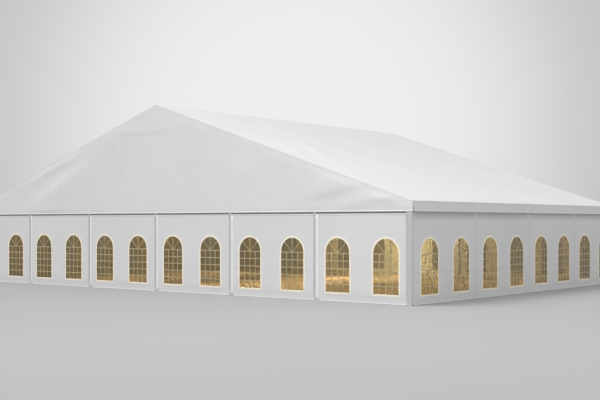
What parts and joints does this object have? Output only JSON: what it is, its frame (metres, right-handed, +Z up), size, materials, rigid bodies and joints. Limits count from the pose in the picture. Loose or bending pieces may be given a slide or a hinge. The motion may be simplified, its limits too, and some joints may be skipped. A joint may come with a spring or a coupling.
{
  "type": "marquee tent",
  "caption": "Clearspan frame tent with a pitched white roof, closed gables and arched clear windows along every wall.",
  "frame": {"origin": "on the ground at the middle of the plan", "axes": "+X across the gables to the right long side, +Y towards the back gable, +Z up; the front gable faces -Y"},
  "size_m": [30.1086, 20.1386, 9.0743],
  "materials": {
    "aluminium_frame": "anodised satin",
    "white_sheet": "PVC-coated cloth, satin",
    "clear_film": "clear glossy film",
    "plywood_deck": "pale matt"
  },
  "bodies": {
    "root": {"portal_frame_1": "aluminium_frame", "portal_frame_2": "aluminium_frame", "portal_frame_3": "aluminium_frame", "portal_frame_4": "aluminium_frame", "portal_frame_5": "aluminium_frame", "front_gable_frame": "aluminium_frame", "back_gable_frame": "aluminium_frame", "ridge_purlin": "aluminium_frame", "left_eave_beam": "aluminium_frame", "right_eave_beam": "aluminium_frame", "left_purlin_1": "aluminium_frame", "left_purlin_2": "aluminium_frame", "left_purlin_3": "aluminium_frame", "right_purlin_1": "aluminium_frame", "right_purlin_2": "aluminium_frame", "right_purlin_3": "aluminium_frame", "front_wall_1": "white_sheet", "front_wall_2": "white_sheet", "front_wall_3": "white_sheet", "front_wall_4": "white_sheet", "front_wall_5": "white_sheet", "front_wall_6": "white_sheet", "back_wall_1": "white_sheet", "back_wall_2": "white_sheet", "back_wall_3": "white_sheet", "back_wall_4": "white_sheet", "back_wall_5": "white_sheet", "back_wall_6": "white_sheet", "left_wall_1": "white_sheet", "left_wall_2": "white_sheet", "left_wall_3": "white_sheet", "left_wall_4": "white_sheet", "right_wall_1": "white_sheet", "right_wall_2": "white_sheet", "right_wall_3": "white_sheet", "right_wall_4": "white_sheet", "front_gable_sheet": "white_sheet", "back_gable_sheet": "white_sheet", "roof_cover_1": "white_sheet", "roof_cover_2": "white_sheet", "roof_cover_3": "white_sheet", "roof_cover_4": "white_sheet", "left_valance": "white_sheet", "right_valance": "white_sheet", "front_window_sheet": "clear_film", "back_window_sheet": "clear_film", "left_window_sheet": "clear_film", "right_window_sheet": "clear_film", "floor_deck": "plywood_deck"}
  },
  "joints": []
}
